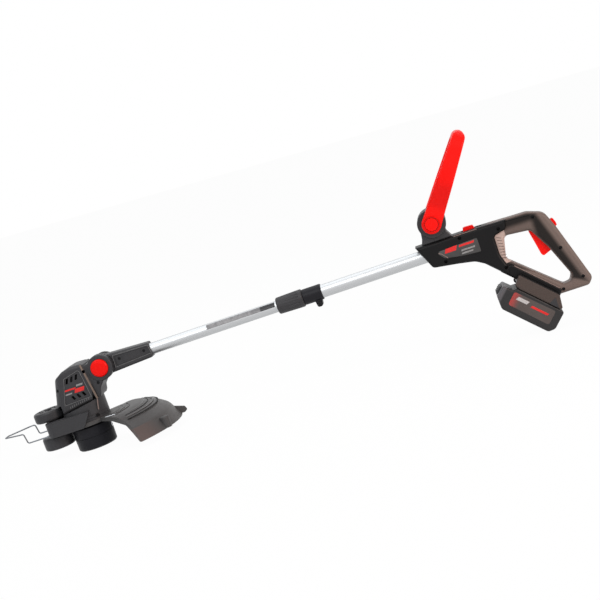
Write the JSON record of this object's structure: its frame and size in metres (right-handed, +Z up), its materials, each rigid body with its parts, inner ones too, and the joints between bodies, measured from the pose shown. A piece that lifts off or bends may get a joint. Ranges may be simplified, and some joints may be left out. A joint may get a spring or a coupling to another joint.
{
  "type": "string trimmer",
  "caption": "Cordless string trimmer: tilting line head with debris guard, edging wheels and wire plant guard, telescopic shaft, D handle, tilting front handle and slide-on battery",
  "frame": {"origin": "on the floor under the middle of the machine, which rests on its cutting head and battery", "axes": "+X from the cutting head to the rear handle, +Y to the user's far side, +Z up"},
  "size_m": [1.1558, 0.246, 0.3953],
  "materials": {
    "black_plastic": "satin charcoal moulded plastic",
    "guard_plastic": "fine matt black moulded plastic",
    "red_plastic": "glossy signal red moulded plastic",
    "aluminium_tube": "satin drawn aluminium",
    "steel": "bright zinc-plated steel",
    "blackened_steel": "black-oxide steel",
    "motor_steel": "plated pressed steel",
    "label_film": "pale printed film, left bare",
    "cutting_line": "translucent nylon monofilament",
    "smoked_panel": "smoked translucent plastic",
    "cell_can": "shrink-wrapped battery can",
    "circuit_board": "green board lacquer",
    "lead_sheath": "flexible cable sheath"
  },
  "bodies": {
    "handle": {"upper_tube": "aluminium_tube", "clamp_sleeve": "black_plastic", "clamp_screw": "steel", "handle_shell_left": "black_plastic", "handle_shell_right": "black_plastic", "handle_screws": "steel", "hub_mount": "black_plastic", "trigger_pin": "steel", "trigger_switch": "black_plastic", "control_board": "circuit_board", "motor_lead": "lead_sheath", "terminal_block": "black_plastic"},
    "front_grip": {"front_handle": "red_plastic", "hub_bolt": "blackened_steel"},
    "hub_release": {"hub_button": "red_plastic"},
    "trigger": {"trigger": "red_plastic"},
    "lock_off": {"lock_button": "red_plastic"},
    "speed_selector": {"speed_slide": "red_plastic"},
    "battery": {"battery_case": "black_plastic", "battery_cover": "black_plastic", "battery_cells": "cell_can", "battery_panels": "smoked_panel", "battery_screws": "steel"},
    "battery_release": {"battery_latch": "black_plastic"},
    "collar": {"twist_collar": "black_plastic"},
    "collet": {"guide_bush": "black_plastic"},
    "lower_shaft": {"lower_tube": "aluminium_tube", "tube_label": "label_film", "arm_socket_left": "black_plastic", "arm_socket_right": "black_plastic", "socket_screws": "steel"},
    "head": {"motor_housing_left": "black_plastic", "motor_housing_right": "black_plastic", "head_screws": "steel", "head_base": "black_plastic", "shaft_bearing": "steel", "motor_can": "motor_steel", "guide_bracket": "black_plastic", "wheel_axle": "black_plastic", "debris_guard": "guard_plastic", "guard_screws": "steel", "line_cutter": "steel", "cutter_rivets": "steel", "tilt_bolt": "blackened_steel", "pivot_cap": "black_plastic", "tilt_spring": "steel"},
    "tilt_release": {"tilt_button": "red_plastic", "lock_gear": "black_plastic"},
    "wheel_above": {"upper_wheel": "black_plastic"},
    "wheel_below": {"lower_wheel": "black_plastic"},
    "cutting_head": {"motor_shaft": "steel", "motor_rotor": "motor_steel", "spool_housing": "black_plastic", "spool_cap": "black_plastic", "line_spool": "black_plastic", "line_winding": "cutting_line", "line_eyelets": "steel", "spool_spring": "steel"},
    "plant_guard": {"wire_guard": "steel"}
  },
  "joints": [
    {"name": "front_handle_tilt", "type": "hinge", "parent": "handle", "child": "front_grip", "pos_m": [0.32409, 0, 0.24568], "axis": [0, 1, 0], "range_deg": [-105, 20]},
    {"name": "hub_button_press", "type": "slide", "parent": "front_grip", "child": "hub_release", "axis": [0, 1, 0], "range_m": [0, 0.003], "stiffness_N_per_m": 400, "springref_m": -0.002},
    {"name": "trigger_pull", "type": "hinge", "parent": "handle", "child": "trigger", "pos_m": [0.50651, 0, 0.1934], "axis": [0, -1, 0], "range_deg": [0, 8], "stiffness_Nm_per_rad": 0.6, "springref_deg": -11.46},
    {"name": "lock_off_press", "type": "slide", "parent": "handle", "child": "lock_off", "axis": [-0.9374, 0, -0.3483], "range_m": [0, 0.003], "stiffness_N_per_m": 400, "springref_m": -0.002},
    {"name": "speed_slide_move", "type": "slide", "parent": "handle", "child": "speed_selector", "axis": [0.9982, 0, 0.0592], "range_m": [0, 0.008]},
    {"name": "battery_rail", "type": "slide", "parent": "handle", "child": "battery", "axis": [-0.7478, 0, 0.664], "range_m": [0, 0.07]},
    {"name": "battery_latch_press", "type": "slide", "parent": "battery", "child": "battery_release", "axis": [0.7478, 0, -0.664], "range_m": [0, 0.003], "stiffness_N_per_m": 400, "springref_m": -0.002},
    {"name": "collar_turn", "type": "hinge", "parent": "handle", "child": "collar", "pos_m": [0.03193, 0, 0.17225], "axis": [0.9982, 0, 0.0592], "range_deg": [0, 90]},
    {"name": "shaft_turn", "type": "hinge", "parent": "handle", "child": "collet", "pos_m": [0.03193, 0, 0.17225], "axis": [0.9982, 0, 0.0592], "range_deg": [0, 180]},
    {"name": "shaft_length", "type": "slide", "parent": "collet", "child": "lower_shaft", "axis": [0.9982, 0, 0.0592], "range_m": [0, 0.2]},
    {"name": "head_tilt", "type": "hinge", "parent": "lower_shaft", "child": "head", "pos_m": [-0.3494, 0, 0.14962], "axis": [0, 1, 0], "range_deg": [0, 60]},
    {"name": "tilt_button_press", "type": "slide", "parent": "head", "child": "tilt_release", "axis": [0, 1, 0], "range_m": [0, 0.003], "stiffness_N_per_m": 500, "springref_m": -0.002},
    {"name": "upper_wheel_spin", "type": "hinge", "parent": "head", "child": "wheel_above", "pos_m": [-0.4805, 0, 0.08324], "axis": [-0.0592, 0, 0.9982], "continuous": true},
    {"name": "lower_wheel_spin", "type": "hinge", "parent": "head", "child": "wheel_below", "pos_m": [-0.47736, 0, 0.03033], "axis": [-0.0592, 0, 0.9982], "continuous": true},
    {"name": "cutting_head_spin", "type": "hinge", "parent": "head", "child": "cutting_head", "pos_m": [-0.40568, 0, 0.02607], "axis": [-0.0592, 0, 0.9982], "continuous": true},
    {"name": "wire_guard_slide", "type": "slide", "parent": "head", "child": "plant_guard", "axis": [0.9982, 0, 0.0592], "range_m": [0, 0.018]}
  ]
}
